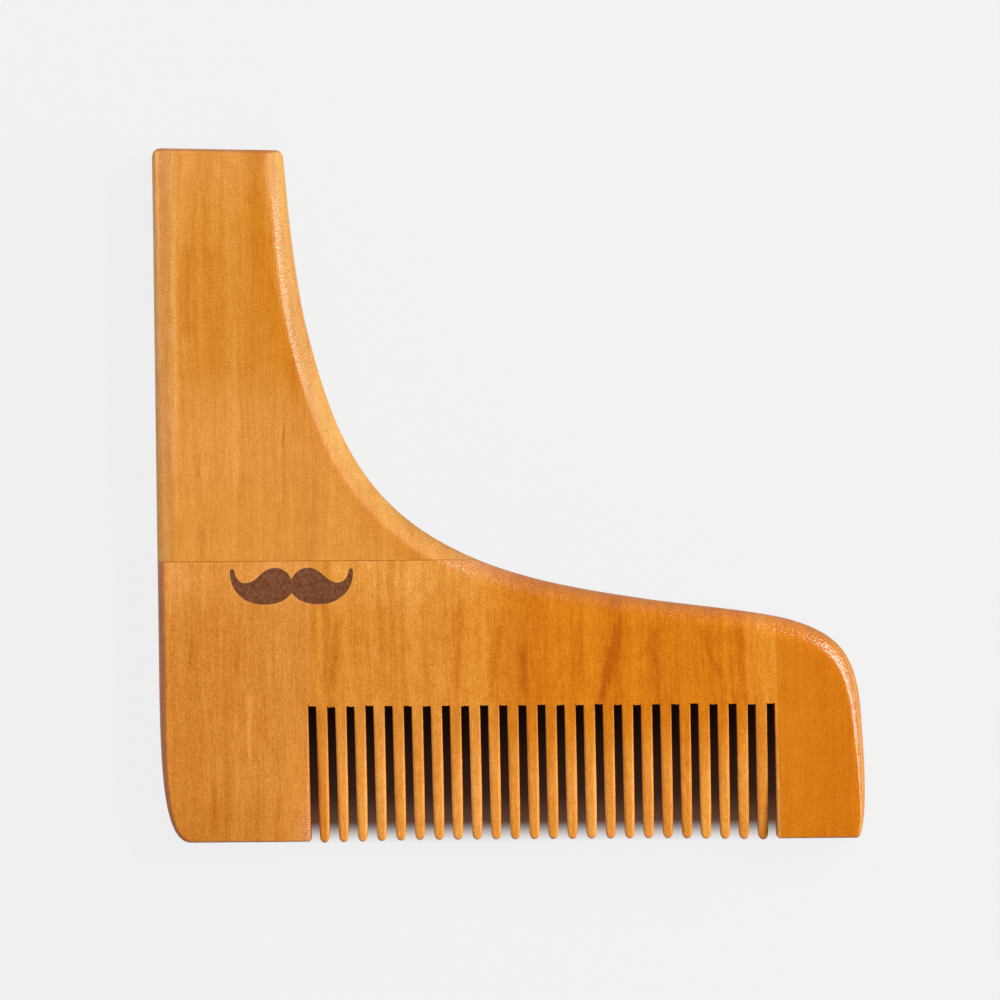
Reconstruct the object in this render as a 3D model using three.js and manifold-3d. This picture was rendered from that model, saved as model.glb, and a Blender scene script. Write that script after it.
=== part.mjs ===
// Beard-shaping comb in light fruitwood: a long tapering arm and a toothed row that meet in
// a sweeping inside curve. The blank is glued up from four blocks with upright grain, then
// profiled, rounded over, sawn into teeth and thinned towards the tooth tips.
//
// Millimetres. The comb lies flat: X runs along the toothed row, Y runs up the arm and
// Z is the thickness. The origin is the centre of the underside's bounding box.

import * as THREE from "three";
import { ConvexGeometry } from "three/addons/geometries/ConvexGeometry.js";
import { mergeVertices } from "three/addons/utils/BufferGeometryUtils.js";
import Module from "manifold-3d";

const wasm = await Module();
wasm.setup();

// ---- Driving dimensions ----------------------------------------------------------------

const WIDTH = 108;
const HEIGHT = 106.2;
const THICKNESS = 10;

const LEFT = -WIDTH / 2;
const RIGHT = WIDTH / 2;
const TOP = HEIGHT / 2;
const TIP_Y = -HEIGHT / 2;         // line of the tooth tips
const FOOT_Y = TIP_Y + 0.25;       // foot of the heel and end blocks, just inside the tips

// Edge round-overs: how far each one reaches in from the outline, how deep it goes, and how
// full it is. A fullness of 2 is a quarter of an ellipse, and less is nearer to a bevel.
const ROUND_BACK = { reach: 1.3, depth: 1.6, fullness: 2 };      // back of the arm and heel
const ROUND_CROWN = { reach: 0.7, depth: 1.2, fullness: 2 };     // free end of the arm
const ROUND_CURVE = { reach: 3, depth: 2.25, fullness: 1.35 };   // inside curve
const ROUND_SPINE = { reach: 2.8, depth: 2.2, fullness: 1.7 };   // spine over the teeth
const ROUND_SHOULDER = { reach: 3.2, depth: 1.9, fullness: 1.5 };
const ROUND_SIDE = { reach: 1.9, depth: 0.95, fullness: 1.5 };   // outer side of the end block
const ROUND_FOOT = { reach: 0.25, depth: 0.8, fullness: 2 };     // foot of the two end blocks
const ROUND_RINGS = 4;             // facets across a quarter-round

// Glue joints.
const ARM_JOINT_Y = -10;           // centre of the joint under the arm block
const GLUE = 0.125;                // thickness of a cured glue film
const SEAT = 0.0625;               // clearance between a leaning film and its blocks

// Saw cuts.
const TOOTH_COUNT = 24;
const SLOT_COUNT = TOOTH_COUNT + 1;
const PITCH = 2.913;
const SLOT_WIDTH = 1.22;
const ROOT_Y = -32.2;              // closed ends of the slots
const FIRST_SLOT_X = -30.2;        // centre of the first slot at its closed end
const LEAN = 0.0145;               // sideways run of the teeth per millimetre down
const TIP_ROUND = 0.95;            // length of the rounded tip of a tooth
const TIP_FLAT = 0.3;              // half width left at the very tip
const TIP_STEPS = 5;

const SLIVER = 0.55;               // spare wood between the last slot and the end block

// Thinning: both faces slope from the slot roots to the tooth tips. The facets are where it
// runs out into the blocks beside the teeth: reach along X, and depth, at the line of the tips.
const TIP_THICKNESS = 3.2;

const HEEL_FACET = { slot: 0, width: -6.2, depth: 1.3 };
const END_FACET = { slot: TOOTH_COUNT, width: 3.4, depth: 0.4 };

const MARGIN = 3;                  // how far a cutting tool overshoots the wood

const ARM_WOOD = { color: 0xd9994b, roughness: 0.45, metalness: 0 };
const HEEL_WOOD = { color: 0xd8924a, roughness: 0.45, metalness: 0 };
const TOOTH_WOOD = { color: 0xd68b3f, roughness: 0.5, metalness: 0 };
const END_WOOD = { color: 0xcf7f2c, roughness: 0.45, metalness: 0 };
const DRIED_GLUE = { color: 0x8a5426, roughness: 0.6, metalness: 0 };

// ---- Plan outline ----------------------------------------------------------------------
// Counter-clockwise from the heel. Each edge holds its curve, the number of straight
// steps it is divided into, and the round-over at its start and end.

const point = (x, y) => new THREE.Vector2(x, y);

function line(from, to, steps, round) {
  return { curve: new THREE.LineCurve(from, to), steps, round };
}

function corner(from, peak, to, round) {
  return { curve: new THREE.QuadraticBezierCurve(from, peak, to), steps: 4, round };
}

function sweep(from, pullFrom, pullTo, to, steps, round) {
  return { curve: new THREE.CubicBezierCurve(from, pullFrom, pullTo, to), steps, round };
}

const HEEL_FOOT = point(-48.7, FOOT_Y);
const END_FOOT = point(52.6, FOOT_Y);
const SIDE_START = point(53.3, -52.3);
const SHOULDER_START = point(53.4, -32.55);
const SHOULDER_END = point(42.8, -19.5);
const SPINE_MIDDLE = point(20.55, -16.15);
const CURVE_START = point(-13.95, -5);
const CURVE_END = point(-30.1, 23.15);
const ARM_TIP_INNER = point(-34.15, 51.85);
const CROWN_INNER = point(-35.3, TOP - 0.4);
const CROWN_OUTER = point(-52.5, TOP);
const BACK_TOP = point(LEFT, 51.6);
const BACK_BOTTOM = point(LEFT + 0.48, -28);

const FIRST_STEP_X = slotCentre(0, FOOT_Y);
const LAST_STEP_X = slotCentre(SLOT_COUNT - 1, FOOT_Y);

const OUTLINE = [
  line(HEEL_FOOT, point(FIRST_STEP_X, FOOT_Y), 2, [ROUND_FOOT, ROUND_FOOT]),
  line(point(FIRST_STEP_X, FOOT_Y), point(FIRST_STEP_X, TIP_Y), 1, [ROUND_FOOT, ROUND_FOOT]),
  line(point(FIRST_STEP_X, TIP_Y), point(LAST_STEP_X, TIP_Y), 4, [ROUND_FOOT, ROUND_FOOT]),
  line(point(LAST_STEP_X, TIP_Y), point(LAST_STEP_X, FOOT_Y), 1, [ROUND_FOOT, ROUND_FOOT]),
  line(point(LAST_STEP_X, FOOT_Y), END_FOOT, 2, [ROUND_FOOT, ROUND_FOOT]),
  corner(END_FOOT, point(53.12, FOOT_Y), SIDE_START, [ROUND_FOOT, ROUND_FOOT]),
  sweep(SIDE_START, point(54.45, -49.3), point(53.98, -40.3), SHOULDER_START, 8,
    [ROUND_FOOT, ROUND_SIDE]),
  sweep(SHOULDER_START, point(52.6, -25), point(50.4, -21.7), SHOULDER_END, 10,
    [ROUND_SIDE, ROUND_SHOULDER]),
  sweep(SHOULDER_END, point(38.2, -18.15), point(26.5, -17.1), SPINE_MIDDLE, 6,
    [ROUND_SHOULDER, ROUND_SPINE]),
  sweep(SPINE_MIDDLE, point(9.1, -14.35), point(-3.6, -12.35), CURVE_START, 10,
    [ROUND_SPINE, ROUND_CURVE]),
  sweep(CURVE_START, point(-23.7, 2.15), point(-27.15, 11.65), CURVE_END, 10,
    [ROUND_CURVE, ROUND_CURVE]),
  sweep(CURVE_END, point(-32.4, 31.45), point(-33.4, 43.6), ARM_TIP_INNER, 8,
    [ROUND_CURVE, ROUND_CROWN]),
  corner(ARM_TIP_INNER, point(-34.3, TOP - 0.42), CROWN_INNER, [ROUND_CROWN, ROUND_CROWN]),
  line(CROWN_INNER, CROWN_OUTER, 2, [ROUND_CROWN, ROUND_CROWN]),
  corner(CROWN_OUTER, point(LEFT, TOP), BACK_TOP, [ROUND_CROWN, ROUND_CROWN]),
  line(BACK_TOP, BACK_BOTTOM, 6, [ROUND_CROWN, ROUND_BACK]),
  sweep(BACK_BOTTOM, point(-53.42, -43.05), point(-52.9, FOOT_Y), HEEL_FOOT, 12,
    [ROUND_BACK, ROUND_FOOT]),
];

// ---- Solids ----------------------------------------------------------------------------

// Outline points with their inward normals and round-overs, as a closed ring.
function outlineRing(edges) {
  const ring = [];
  for (const { curve, steps, round } of edges) {
    for (let step = 0; step < steps; step += 1) {
      const along = step / steps;
      const reach = THREE.MathUtils.lerp(round[0].reach, round[1].reach, along);
      const depth = THREE.MathUtils.lerp(round[0].depth, round[1].depth, along);
      const fullness = THREE.MathUtils.lerp(round[0].fullness, round[1].fullness, along);
      ring.push({ at: curve.getPoint(along), reach, depth, fullness });
    }
  }
  ring.forEach((entry, i) => {
    const before = ring.at(i - 1).at;
    const after = ring[(i + 1) % ring.length].at;
    const along = after.clone().sub(before).normalize();
    entry.inward = point(-along.y, along.x);
  });
  return ring;
}

// The whole blank: the outline through the full thickness, with both faces rounded over.
function roundedSlab(edges) {
  const ring = outlineRing(edges);
  const count = ring.length;
  const layers = [];
  for (const side of [-1, 1]) {
    for (let facet = 0; facet <= ROUND_RINGS; facet += 1) {
      const turned = side < 0 ? ROUND_RINGS - facet : facet;
      const angle = (Math.PI / 2) * (turned / ROUND_RINGS);
      layers.push(ring.map(({ at, reach, depth, fullness, inward }) => {
        const inset = reach * (1 - Math.cos(angle) ** (2 / fullness));
        const drop = depth * (1 - Math.sin(angle) ** (2 / fullness));
        const z = side < 0 ? drop : THICKNESS - drop;
        return new THREE.Vector3(at.x + inward.x * inset, at.y + inward.y * inset, z);
      }));
    }
  }
  const positions = layers.flat().flatMap((vertex) => vertex.toArray());
  const index = [];
  for (let layer = 0; layer < layers.length - 1; layer += 1) {
    for (let i = 0; i < count; i += 1) {
      const a = layer * count + i;
      const b = layer * count + ((i + 1) % count);
      index.push(a, b, b + count, a, b + count, a + count);
    }
  }
  const lastLayer = (layers.length - 1) * count;
  for (const [a, b, c] of THREE.ShapeUtils.triangulateShape(layers[0], [])) {
    index.push(c, b, a);
  }
  for (const [a, b, c] of THREE.ShapeUtils.triangulateShape(layers.at(-1), [])) {
    index.push(lastLayer + a, lastLayer + b, lastLayer + c);
  }
  const geometry = new THREE.BufferGeometry();
  geometry.setAttribute("position", new THREE.Float32BufferAttribute(positions, 3));
  geometry.setIndex(index);
  return geometry;
}

function toSolid(geometry) {
  geometry.deleteAttribute("normal");
  geometry.deleteAttribute("uv");
  const merged = mergeVertices(geometry, 1e-4);
  return new wasm.Manifold(new wasm.Mesh({
    numProp: 3,
    vertProperties: new Float32Array(merged.attributes.position.array),
    triVerts: new Uint32Array(merged.index.array),
  }));
}

function toGeometry(solid) {
  const { vertProperties, triVerts } = solid.getMesh();
  const geometry = new THREE.BufferGeometry();
  geometry.setAttribute("position", new THREE.BufferAttribute(vertProperties, 3));
  geometry.setIndex(new THREE.BufferAttribute(triVerts, 1));
  geometry.computeVertexNormals();
  return geometry;
}

// An upright prism through the whole thickness, over a plan polygon.
function prism(corners) {
  const depth = THICKNESS + 2 * MARGIN;
  const geometry = new THREE.ExtrudeGeometry(new THREE.Shape(corners), {
    depth,
    bevelEnabled: false,
  });
  geometry.translate(0, 0, -MARGIN);
  return toSolid(geometry);
}

// ---- Places of the cuts and joints -----------------------------------------------------

// Everything sawn or glued along the teeth leans by the same small angle.
function leaning(xAtRoot, y) {
  return xAtRoot + LEAN * (ROOT_Y - y);
}

function slotCentre(slot, y) {
  return leaning(FIRST_SLOT_X + slot * PITCH, y);
}

const HEEL_JOINT_X = FIRST_SLOT_X;
const END_JOINT_X = FIRST_SLOT_X + TOOTH_COUNT * PITCH + SLOT_WIDTH / 2 + SLIVER;

// A plan region below the arm joint, between two leaning lines.
function leaningRegion(leftX, rightX, bottomY) {
  const topY = ARM_JOINT_Y - GLUE / 2;
  return prism([
    point(leaning(leftX, bottomY), bottomY),
    point(leaning(rightX, bottomY), bottomY),
    point(leaning(rightX, topY), topY),
    point(leaning(leftX, topY), topY),
  ]);
}

function levelRegion(bottomY, topY) {
  return prism([
    point(LEFT - MARGIN, bottomY),
    point(RIGHT + MARGIN, bottomY),
    point(RIGHT + MARGIN, topY),
    point(LEFT - MARGIN, topY),
  ]);
}

// ---- Cutting tools ---------------------------------------------------------------------

// Half width of a tooth at a height above its tip: parallel, then a rounded point.
function toothHalfWidth(aboveTip) {
  const full = (PITCH - SLOT_WIDTH) / 2;
  if (aboveTip >= TIP_ROUND) return full;
  const fromFull = 1 - Math.max(aboveTip, 0) / TIP_ROUND;
  return Math.max(TIP_FLAT, full * Math.sqrt(1 - fromFull * fromFull));
}

// One saw cut, with the rounding of the tooth tips beside it. The first and last cuts
// run along the end blocks, where that side stays straight.
function slotTool(slot) {
  const wall = (side, aboveTip) => {
    const besideBlock = (side < 0 && slot === 0) || (side > 0 && slot === TOOTH_COUNT);
    const reach = besideBlock ? SLOT_WIDTH / 2 : PITCH / 2 - toothHalfWidth(aboveTip);
    const y = TIP_Y + aboveTip;
    return point(slotCentre(slot, y) + side * reach, y);
  };
  const heights = [ROOT_Y - TIP_Y];
  for (let step = TIP_STEPS; step >= 0; step -= 1) {
    heights.push(TIP_ROUND * (step / TIP_STEPS) ** 2);
  }
  heights.push(-MARGIN);
  const left = heights.map((height) => wall(-1, height));
  const right = heights.map((height) => wall(1, height)).reverse();
  return prism([...left, ...right]);
}

// What is left between the two thinning planes: full thickness down to the slot roots.
function thinningEnvelope() {
  const slope = (THICKNESS - TIP_THICKNESS) / 2 / (ROOT_Y - TIP_Y);
  const endY = TIP_Y - MARGIN;
  const cutAtEnd = slope * (ROOT_Y - endY);
  const profile = new THREE.Shape([
    point(TOP, -MARGIN),
    point(TOP, THICKNESS + MARGIN),
    point(ROOT_Y, THICKNESS + MARGIN),
    point(ROOT_Y, THICKNESS),
    point(endY, THICKNESS - cutAtEnd),
    point(endY, cutAtEnd),
    point(ROOT_Y, 0),
    point(ROOT_Y, -MARGIN),
  ]);
  const geometry = new THREE.ExtrudeGeometry(profile, {
    depth: WIDTH + 2 * MARGIN,
    bevelEnabled: false,
  });
  const alongX = new THREE.Matrix4().makeBasis(
    new THREE.Vector3(0, 1, 0),
    new THREE.Vector3(0, 0, 1),
    new THREE.Vector3(1, 0, 0),
  );
  geometry.applyMatrix4(alongX);
  geometry.translate(LEFT - MARGIN, 0, 0);
  return toSolid(geometry);
}

// Where the thinning runs out into a block beside the teeth, it leaves a shallow facet on
// each face, which starts at the closed end of the slot and is widest and deepest at the foot.
function runOutFacet({ slot, width, depth }, face) {
  const surface = face > 0 ? THICKNESS : 0;
  const endY = TIP_Y - MARGIN;
  const growth = (ROOT_Y - endY) / (ROOT_Y - TIP_Y);
  const endX = slotCentre(slot, endY);
  const rim = [
    new THREE.Vector3(slotCentre(slot, ROOT_Y), ROOT_Y, surface),
    new THREE.Vector3(endX, endY, surface - face * depth * growth),
    new THREE.Vector3(endX + width * growth, endY, surface),
  ];
  const raised = rim.map((corner) => corner.clone().setZ(surface + face * MARGIN));
  return toSolid(new ConvexGeometry([...rim, ...raised]));
}

const FACETS = [HEEL_FACET, END_FACET].flatMap((facet) => [
  runOutFacet(facet, 1),
  runOutFacet(facet, -1),
]);

// ---- Blocks and glue films -------------------------------------------------------------

const slab = toSolid(roundedSlab(OUTLINE));
const armJointTop = ARM_JOINT_Y + GLUE / 2;
const armJointBottom = ARM_JOINT_Y - GLUE / 2;
const blockSetback = GLUE / 2 + SEAT;

function sawn(solid) {
  const slots = Array.from({ length: SLOT_COUNT }, (_, slot) => slotTool(slot));
  return [...slots, ...FACETS].reduce((wood, tool) => wood.subtract(tool), solid);
}

const armBlock = slab.intersect(levelRegion(armJointTop, TOP + MARGIN));
const armFilm = slab.intersect(levelRegion(armJointBottom, armJointTop));

const lowestY = TIP_Y - MARGIN;
const heelRegion = leaningRegion(LEFT - MARGIN, HEEL_JOINT_X - blockSetback, lowestY);
const toothRegion = leaningRegion(
  HEEL_JOINT_X + blockSetback,
  END_JOINT_X - blockSetback,
  lowestY,
);
const endRegion = leaningRegion(END_JOINT_X + blockSetback, RIGHT + MARGIN, lowestY);
const heelFilmRegion = leaningRegion(HEEL_JOINT_X - GLUE / 2, HEEL_JOINT_X + GLUE / 2, ROOT_Y);
const endFilmRegion = leaningRegion(END_JOINT_X - GLUE / 2, END_JOINT_X + GLUE / 2, lowestY);

const PIECES = {
  arm_block: { solid: armBlock, finish: ARM_WOOD },
  heel_block: { solid: sawn(slab.intersect(heelRegion)), finish: HEEL_WOOD },
  tooth_block: {
    solid: sawn(slab.intersect(toothRegion)).intersect(thinningEnvelope()),
    finish: TOOTH_WOOD,
  },
  end_block: { solid: sawn(slab.intersect(endRegion)), finish: END_WOOD },
  arm_joint_glue: { solid: armFilm, finish: DRIED_GLUE },
  heel_joint_glue: { solid: slab.intersect(heelFilmRegion), finish: DRIED_GLUE },
  end_joint_glue: { solid: sawn(slab.intersect(endFilmRegion)), finish: DRIED_GLUE },
};

const comb = new THREE.Group();
comb.name = "beard_comb";
for (const [name, { solid, finish }] of Object.entries(PIECES)) {
  const mesh = new THREE.Mesh(toGeometry(solid), new THREE.MeshStandardMaterial(finish));
  mesh.name = name;
  comb.add(mesh);
}

export default comb;
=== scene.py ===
import math
import random

import bmesh
import bpy
import numpy as np
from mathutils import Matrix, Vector, kdtree
from mathutils.geometry import delaunay_2d_cdt


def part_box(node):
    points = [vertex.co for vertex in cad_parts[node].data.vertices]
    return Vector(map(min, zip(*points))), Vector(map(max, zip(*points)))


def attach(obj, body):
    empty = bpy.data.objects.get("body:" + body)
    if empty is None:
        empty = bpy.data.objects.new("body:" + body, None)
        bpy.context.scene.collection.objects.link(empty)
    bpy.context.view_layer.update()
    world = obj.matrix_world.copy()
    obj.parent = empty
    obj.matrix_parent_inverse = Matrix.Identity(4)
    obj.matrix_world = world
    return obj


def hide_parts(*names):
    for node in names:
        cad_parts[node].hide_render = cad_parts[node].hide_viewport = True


# Looks for a wooden beard-shaping comb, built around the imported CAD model. The frame is in
# metres; shapes are worked out in millimetres and scaled when their meshes are made.

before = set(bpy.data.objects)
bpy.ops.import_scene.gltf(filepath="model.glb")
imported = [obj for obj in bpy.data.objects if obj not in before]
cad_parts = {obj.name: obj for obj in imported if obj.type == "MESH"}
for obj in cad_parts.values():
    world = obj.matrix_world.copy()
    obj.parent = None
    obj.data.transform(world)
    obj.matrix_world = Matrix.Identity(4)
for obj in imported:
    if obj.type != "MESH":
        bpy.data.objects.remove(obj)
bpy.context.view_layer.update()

MM = 0.001
random.seed(24)


def box_mm(node):
    low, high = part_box(node)
    return low / MM, high / MM


# ---- Dimensions read from the frame, in millimetres -------------------------------------

ARM_LOW, ARM_HIGH = box_mm("arm_block")
HEEL_LOW = box_mm("heel_block")[0]
TEETH_LOW = box_mm("tooth_block")[0]
ARM_GLUE_LOW, ARM_GLUE_HIGH = box_mm("arm_joint_glue")
HEEL_GLUE_LOW, HEEL_GLUE_HIGH = box_mm("heel_joint_glue")

THICKNESS = ARM_HIGH.z
MIDDLE_Z = THICKNESS / 2
LEFT = ARM_LOW.x
RIGHT = -LEFT
TOP = ARM_HIGH.y
TIP_Y = TEETH_LOW.y
FOOT_Y = HEEL_LOW.y
ROOT_Y = HEEL_GLUE_LOW.y
ARM_JOINT_Y = (ARM_GLUE_LOW.y + ARM_GLUE_HIGH.y) / 2
GLUE = ARM_GLUE_HIGH.y - ARM_GLUE_LOW.y

# ---- Teeth and joints, in millimetres ---------------------------------------------------

LEAN = 0.0145              # sideways run of the teeth per millimetre down
TOOTH_COUNT = 24
SLOT_COUNT = TOOTH_COUNT + 1
PITCH = 2.913
SLOT_WIDTH = 1.22
SLIVER = 0.55              # spare wood between the last slot and the end block
TIP_LENGTH = 0.9           # rounded end of a tooth
TIP_NARROWING = 0.1        # how much slimmer each side of a tooth gets just above its tip
NARROWING_LENGTH = 9.0
NARROWING_PULL = 3.0       # how far up the narrowing curve its control point lies
END_TEETH_LONGER = 0.3     # the outermost teeth reach down this much further
SHORTENING_TEETH = 5       # over how many teeth from each end that runs out
TOOTH_WANDER = 0.03        # sideways unevenness of the sawing
ROOT_WANDER = 0.1          # unevenness of the closed ends
BURR = 0.12                # torn fibres left at the closed ends
BURR_STEPS = 7             # outline points across a closed end
TIP_STEPS = 18             # outline points round a tooth's tip

# The heel joint runs down into the middle of the first slot.
FIRST_SLOT_X = (HEEL_GLUE_LOW.x + HEEL_GLUE_HIGH.x) / 2 + LEAN * (
    HEEL_GLUE_HIGH.y - HEEL_GLUE_LOW.y) / 2
HEEL_JOINT_X = FIRST_SLOT_X
END_JOINT_X = FIRST_SLOT_X + TOOTH_COUNT * PITCH + SLOT_WIDTH / 2 + SLIVER

# Thinning of the teeth, and where it runs out into the blocks on both sides.
TIP_HALF_THICKNESS = 1.6
THINNING_ONSET = 0.06
THINNING_LIMIT = 1.1       # the thinning goes on this far, as a share of the teeth's length
HEEL_RUN_OUT = {"width": 6.2, "depth": 1.3, "softness": 1.6}
END_RUN_OUT = {"width": 2.8, "depth": 0.35, "softness": 1.5}

# Round-overs: how far each one reaches in from the outline, how deep it goes, how full it
# is, and how far its inner edge is carried toward the comb's back. A fullness of 2 is a
# quarter of an ellipse, and less is nearer to a bevel.
BACK = (1.3, 1.6, 2.0, 0.0)
CROWN = (0.7, 1.2, 2.0, 0.0)
ARM_TIP = (0.7, 1.6, 1.7, 2.2)
CURVE = (3.0, 2.25, 1.35, 0.0)
SPINE = (2.8, 2.2, 1.7, 0.0)
SHOULDER = (3.2, 1.9, 1.5, 0.0)
SIDE = (1.9, 0.95, 1.5, 0.0)
FOOT = (0.4, 0.8, 2.0, 0.0)
CORNER = (0.25, 0.6, 2.0, 0.0)
SLOT_ROOT = (0.08, 0.08, 2.0, 0.0)
SLOT_TOP = (0.13, 0.13, 2.0, 0.0)
SLOT_LOW = (0.58, 0.34, 2.0, 0.0)
TOOTH_TIP = (0.45, 0.42, 2.0, 0.0)

ROUGH_STEPS = 16           # steps that a curve's length is measured in
CURVE_SPACING = 0.45       # length of mesh edges along curves
LINE_SPACING = 1.1
FINE_SPACING = 0.14
ROUND_STEPS = 9            # facets across a quarter-round
HOLD_SHARE = 0.2           # flat rim just inside a round-over, as a share of its reach
ROOM_IN_CORNER = 0.7       # how much of a corner's radius its round-over may take
FLAT_SPACING = 3.0         # mesh points on the flat of a face
SHAPED_SPACING = 0.45      # mesh points on the run-outs
RIM_CLEARANCE = 0.3
SAWN_MARGIN = 0.05
FULLY_GROUND = 0.25        # depth of grinding that has taken the old surface off
LEAST_TURN = 1e-4          # a smaller turn than this counts as straight, in radians
FILL_TOLERANCE = 1e-7
CUT_TOLERANCE = 1e-6
SHARP_ANGLE = 42           # degrees between faces, above which their edge stays sharp


def leaning(x_at_root, y):
    return x_at_root + LEAN * (ROOT_Y - y)


def slot_centre(slot, y):
    return leaning(FIRST_SLOT_X + slot * PITCH, y)


# ---- Plan outline -----------------------------------------------------------------------

class Outline:
    """A closed plan outline, gathered point by point, with the round-over at each point."""

    def __init__(self):
        self.points = []
        self.rounds = []

    def run(self, controls, spacing, start, end):
        """Adds a Bezier curve through its control points, without its last point."""
        rough = [bezier(controls, step / ROUGH_STEPS) for step in range(ROUGH_STEPS + 1)]
        length = sum(math.dist(a, b) for a, b in zip(rough, rough[1:]))
        steps = max(1, round(length / spacing))
        for step in range(steps):
            t = step / steps
            self.points.append(bezier(controls, t))
            self.rounds.append([a + (b - a) * t for a, b in zip(start, end)])

    def normals(self):
        """Unit inward normals, from the neighbours of each point."""
        points = np.array(self.points)
        along = np.roll(points, -1, axis=0) - points
        along /= np.linalg.norm(along, axis=1)[:, None]
        blended = along + np.roll(along, 1, axis=0)
        blended /= np.linalg.norm(blended, axis=1)[:, None]
        return np.stack([-blended[:, 1], blended[:, 0]], axis=1)


def bezier(controls, t):
    points = [tuple(p) for p in controls]
    while len(points) > 1:
        points = [tuple(a + (b - a) * t for a, b in zip(p, q)) for p, q in zip(points, points[1:])]
    return points[0]


HEEL_FOOT = (-48.7, FOOT_Y)
END_FOOT = (52.6, FOOT_Y)
SIDE_START = (53.3, -52.3)
SHOULDER_START = (53.4, -32.55)
SHOULDER_END = (42.8, -19.5)
SPINE_MIDDLE = (20.55, -16.15)
CURVE_START = (-13.95, -5)
CURVE_END = (-30.1, 23.15)
ARM_TIP_INNER = (-34.15, 51.85)
CROWN_INNER = (-35.3, TOP - 0.4)
CROWN_OUTER = (-52.5, TOP)
BACK_TOP = (LEFT, 51.6)
BACK_BOTTOM = (LEFT + 0.48, -28)
HEEL_CORNER = 0.42         # corner between the heel's foot and the first slot
END_CORNER = 0.42          # corner between the last slot and the end block's foot


def tooth_shortfall(tooth):
    """How far a tooth's tip stays above the line of the two outermost tips."""
    from_end = min(tooth, TOOTH_COUNT - 1 - tooth)
    return END_TEETH_LONGER * min(1, from_end / SHORTENING_TEETH)


def add_teeth(outline):
    """The saw cuts and tooth tips, from the heel's foot corner to the end block's."""
    half = SLOT_WIDTH / 2
    wander = [random.uniform(-TOOTH_WANDER, TOOTH_WANDER) for _ in range(2 * SLOT_COUNT)]
    roots = [ROOT_Y + random.uniform(-ROOT_WANDER, ROOT_WANDER) for _ in range(SLOT_COUNT)]
    for slot in range(SLOT_COUNT):
        root_y = roots[slot]
        first, last = slot == 0, slot == SLOT_COUNT - 1

        # Up the left wall.
        if first:
            low_y = FOOT_Y + HEEL_CORNER
            low = (slot_centre(slot, low_y) - half, low_y)
            outline.run([low, (slot_centre(slot, root_y) - half, root_y)],
                        LINE_SPACING, SLOT_LOW, SLOT_TOP)
        else:
            low_y = TIP_Y + tooth_shortfall(slot - 1) + TIP_LENGTH
            bend_y = low_y + NARROWING_LENGTH
            shift = wander[2 * slot]
            low = (slot_centre(slot, low_y) - half - TIP_NARROWING + shift, low_y)
            bend = (slot_centre(slot, bend_y) - half + shift, bend_y)
            pull_y = low_y + NARROWING_PULL
            pull = (slot_centre(slot, pull_y) - half + shift, pull_y)
            outline.run([low, pull, bend], LINE_SPACING, TOOTH_TIP, SLOT_LOW)
            outline.run([bend, (slot_centre(slot, root_y) - half, root_y)],
                        LINE_SPACING, SLOT_LOW, SLOT_TOP)

        # Across the closed end, with its torn fibres.
        for step in range(BURR_STEPS):
            x = slot_centre(slot, root_y) - half + SLOT_WIDTH * step / BURR_STEPS
            burr = random.uniform(0, BURR) if 0 < step else 0
            outline.points.append((x, root_y - burr))
            outline.rounds.append(list(SLOT_ROOT))

        # Down the right wall.
        top = (slot_centre(slot, root_y) + half, root_y)
        if last:
            low_y = FOOT_Y + END_CORNER
            outline.run([top, (slot_centre(slot, low_y) + half, low_y)],
                        LINE_SPACING, SLOT_TOP, SLOT_LOW)
            continue
        tip_y = TIP_Y + tooth_shortfall(slot)
        low_y = tip_y + TIP_LENGTH
        bend_y = low_y + NARROWING_LENGTH
        shift = wander[2 * slot + 1]
        low = (slot_centre(slot, low_y) + half + TIP_NARROWING + shift, low_y)
        bend = (slot_centre(slot, bend_y) + half + shift, bend_y)
        pull_y = low_y + NARROWING_PULL
        pull = (slot_centre(slot, pull_y) + half + shift, pull_y)
        outline.run([top, bend], LINE_SPACING, SLOT_TOP, SLOT_LOW)
        outline.run([bend, pull, low], LINE_SPACING, SLOT_LOW, TOOTH_TIP)

        # Round the tooth's tip.
        next_shift = wander[2 * slot + 2]
        far_x = slot_centre(slot + 1, low_y) - half - TIP_NARROWING + next_shift
        centre_x = (low[0] + far_x) / 2
        half_width = (far_x - low[0]) / 2
        for step in range(TIP_STEPS):
            angle = math.pi * (1 + step / TIP_STEPS)
            outline.points.append((centre_x + half_width * math.cos(angle),
                                   low_y + TIP_LENGTH * math.sin(angle)))
            outline.rounds.append(list(TOOTH_TIP))


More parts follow.
